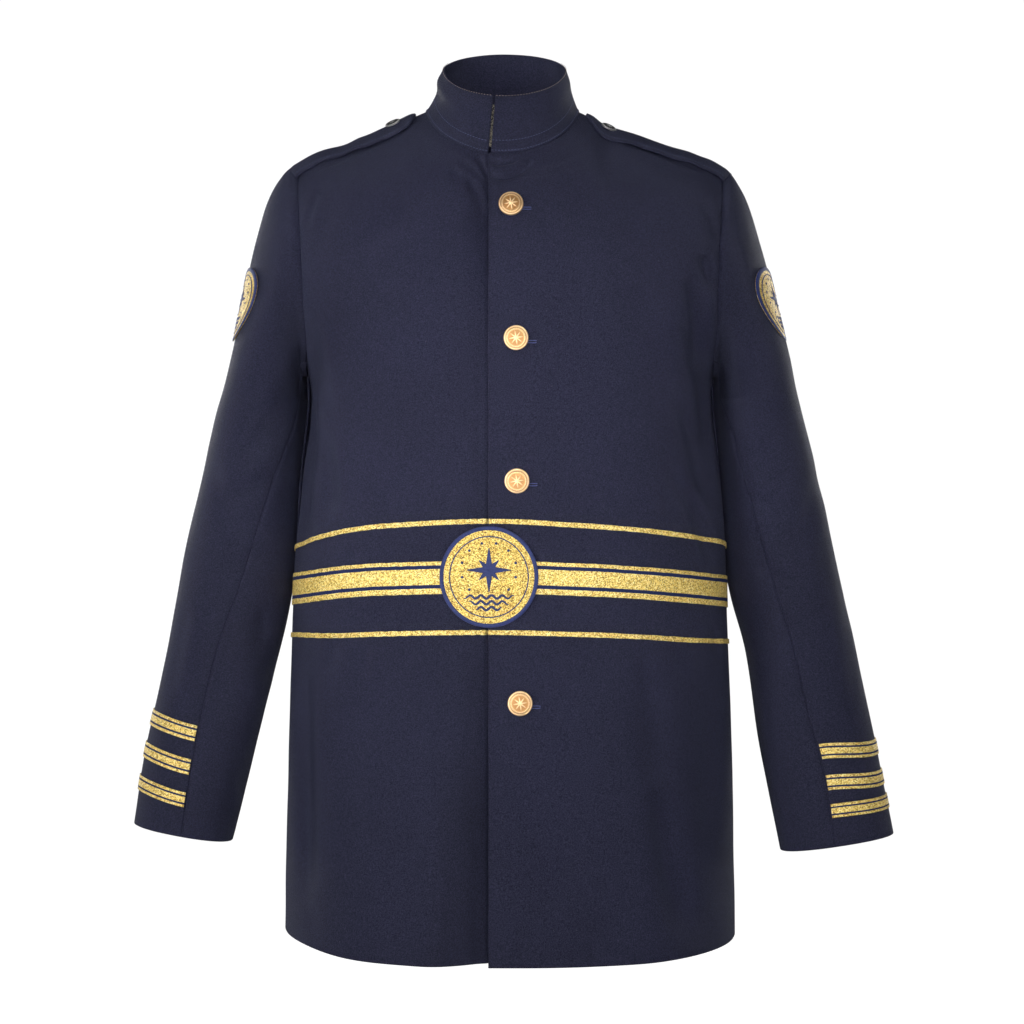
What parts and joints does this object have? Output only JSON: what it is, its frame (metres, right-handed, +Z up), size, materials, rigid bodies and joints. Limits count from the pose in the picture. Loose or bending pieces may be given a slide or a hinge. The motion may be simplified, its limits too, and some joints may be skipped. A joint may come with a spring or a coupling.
{
  "type": "dress jacket",
  "caption": "Hollow filled-out dress tunic with a stand collar, lapped front, domed buttons, shoulder straps, waist braid, cuff stripes and oval badges.",
  "frame": {"origin": "middle of the neck, level with the inner ends of the shoulders, where the wearer carries it", "axes": "+Z up along the body, -Y towards the front, +X towards the wearer's left"},
  "size_m": [0.7521, 0.271, 0.9],
  "materials": {
    "navy_twill": "fine wool twill, matte",
    "gold_braid": "woven metallic braid with mid-blue lines",
    "gold_buttons": "pressed and polished, with relief",
    "small_buttons": "pewter rim round a dark face",
    "badges": "embroidered in gold and blue thread",
    "tape": "olive and black hook-and-loop tape"
  },
  "bodies": {
    "root": {"front_left": "navy_twill", "front_right": "navy_twill", "back": "navy_twill", "sleeve_left_top": "navy_twill", "sleeve_left_under": "navy_twill", "sleeve_right_top": "navy_twill", "sleeve_right_under": "navy_twill", "collar": "navy_twill", "collar_tab": "tape", "epaulette_left": "navy_twill", "epaulette_right": "navy_twill", "epaulette_button_left": "small_buttons", "epaulette_button_right": "small_buttons", "button_1": "gold_buttons", "button_2": "gold_buttons", "button_3": "gold_buttons", "button_4": "gold_buttons", "braid_upper_front_left": "gold_braid", "braid_upper_front_right": "gold_braid", "braid_upper_back": "gold_braid", "braid_middle_front_left": "gold_braid", "braid_middle_front_right": "gold_braid", "braid_middle_back": "gold_braid", "braid_lower_front_left": "gold_braid", "braid_lower_front_right": "gold_braid", "braid_lower_back": "gold_braid", "cuff_stripe_left_1": "gold_braid", "cuff_stripe_left_2": "gold_braid", "cuff_stripe_left_3": "gold_braid", "cuff_stripe_right_1": "gold_braid", "cuff_stripe_right_2": "gold_braid", "cuff_stripe_right_3": "gold_braid", "waist_badge": "badges", "sleeve_badge_left": "badges", "sleeve_badge_right": "badges"}
  },
  "joints": []
}
